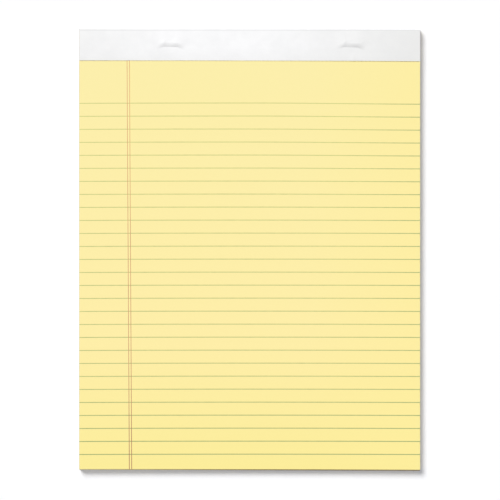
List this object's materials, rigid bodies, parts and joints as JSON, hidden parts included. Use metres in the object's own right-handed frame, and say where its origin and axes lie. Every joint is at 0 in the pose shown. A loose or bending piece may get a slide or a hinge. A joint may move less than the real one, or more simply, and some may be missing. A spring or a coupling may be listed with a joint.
{
  "type": "legal pad",
  "caption": "Letter-size pad of ruled yellow sheets on a chipboard back, stapled and bound at the top by a folded white paper strip, for handwriting.",
  "frame": {"origin": "middle of the underside, on the surface that the pad lies on", "axes": "+X across the page to the right, +Y up the page towards the bound edge, +Z out of the written side"},
  "size_m": [0.216, 0.2794, 0.006],
  "materials": {
    "chipboard": "matte",
    "yellow_paper": "matte",
    "white_paper": "matte",
    "staple_wire": "satin",
    "green_ink": "matte",
    "red_ink": "matte"
  },
  "bodies": {
    "root": {"backing_board": "chipboard", "sheet_block": "yellow_paper", "binding_strip": "white_paper", "staples": "staple_wire", "ruled_lines": "green_ink", "margin_lines": "red_ink"}
  },
  "joints": []
}
